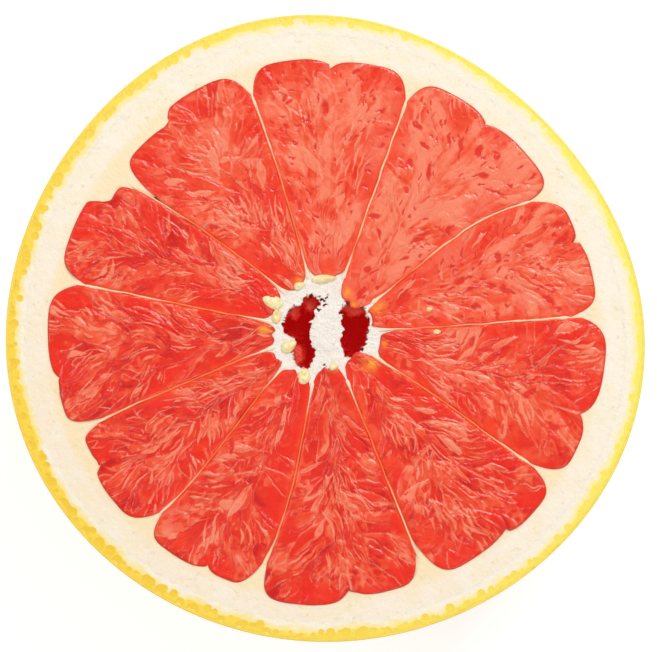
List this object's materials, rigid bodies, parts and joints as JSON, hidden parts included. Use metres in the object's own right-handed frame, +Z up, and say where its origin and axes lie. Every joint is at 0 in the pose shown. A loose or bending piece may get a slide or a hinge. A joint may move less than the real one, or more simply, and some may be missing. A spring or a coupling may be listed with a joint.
{
  "type": "halved grapefruit",
  "caption": "Half of a pink grapefruit, cut across its middle, lying cut face up with red segments, white pith and yellow peel.",
  "frame": {"origin": "middle of the fruit's outline, at the height of the small flat spot that it rests on", "axes": "+Z up, out of the cut face; +X along the cut face's widest direction; +Y across it"},
  "size_m": [0.111, 0.109, 0.0476],
  "materials": {
    "peel": "waxy yellow peel with small dimples and a pink blush",
    "pith": "matte cream pith",
    "pulp": "wet translucent red pulp",
    "membrane": "thin moist pale skin",
    "seed": "pale yellow, slightly wet"
  },
  "bodies": {
    "root": {"grapefruit_half": "peel"}
  },
  "joints": []
}
